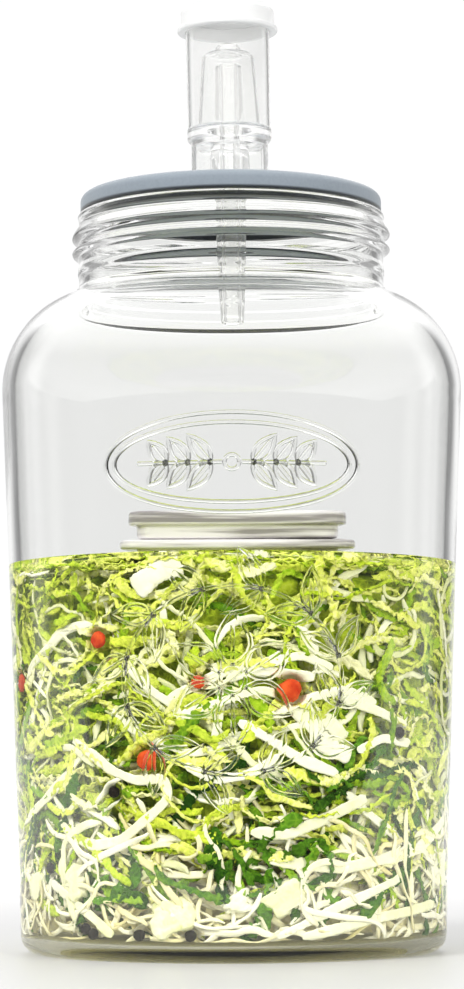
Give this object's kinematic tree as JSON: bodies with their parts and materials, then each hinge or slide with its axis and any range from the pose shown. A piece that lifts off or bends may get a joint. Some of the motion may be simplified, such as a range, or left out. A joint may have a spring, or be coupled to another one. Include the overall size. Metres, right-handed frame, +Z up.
{
  "type": "fermentation jar",
  "caption": "Glass fermentation jar part filled with shredded cabbage in brine, shut by a soft lid with an airlock in its middle, half-moon weights on top.",
  "frame": {"origin": "on the surface that the jar stands on, under the middle of its base", "axes": "+Z up along the jar's axis, -Y the front"},
  "size_m": [0.1736, 0.1736, 0.3577],
  "materials": {
    "glass": "clear, smooth, raised pattern on the front",
    "silicone": "soft satin blue-grey",
    "clear_plastic": "clear, slightly milky",
    "frosted_plastic": "translucent white",
    "ceramic": "pale grey glaze",
    "cabbage": "wet, yellow-green with white and dark green shreds"
  },
  "bodies": {
    "root": {"jar": "glass", "lid": "silicone", "airlock_cup": "clear_plastic", "airlock_bell": "clear_plastic", "airlock_cap": "frosted_plastic", "weight_lower": "ceramic", "weight_upper": "ceramic", "vegetables": "cabbage"}
  },
  "joints": []
}
